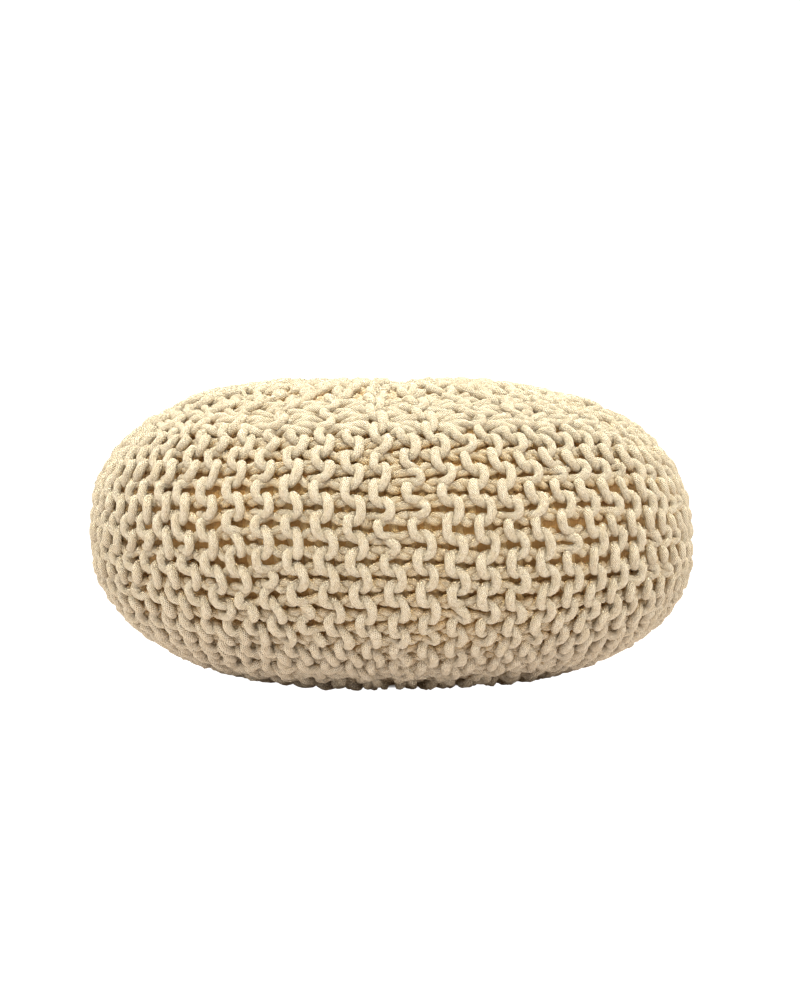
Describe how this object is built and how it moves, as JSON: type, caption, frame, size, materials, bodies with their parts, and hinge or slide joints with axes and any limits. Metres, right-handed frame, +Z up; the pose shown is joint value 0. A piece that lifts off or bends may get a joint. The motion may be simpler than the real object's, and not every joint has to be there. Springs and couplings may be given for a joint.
{
  "type": "knitted pouf",
  "caption": "Round low floor pouf: a filled inner bag inside a thick hand-knitted cotton cover with zigzag ridges from the top centre to the bottom centre.",
  "frame": {"origin": "middle of the flat face on which the pouf rests", "axes": "+Z up, from the resting face to the crown; +X and +Y lie in the floor, and the picture looks along +Y"},
  "size_m": [0.6002, 0.5999, 0.2998],
  "materials": {
    "cotton_cord": "matt cream cotton cord with fine grey flecks, knitted in garter stitch",
    "bag_cloth": "matt plain-woven tan cotton"
  },
  "bodies": {
    "root": {"inner_bag": "bag_cloth", "knitted_cover": "cotton_cord"}
  },
  "joints": []
}
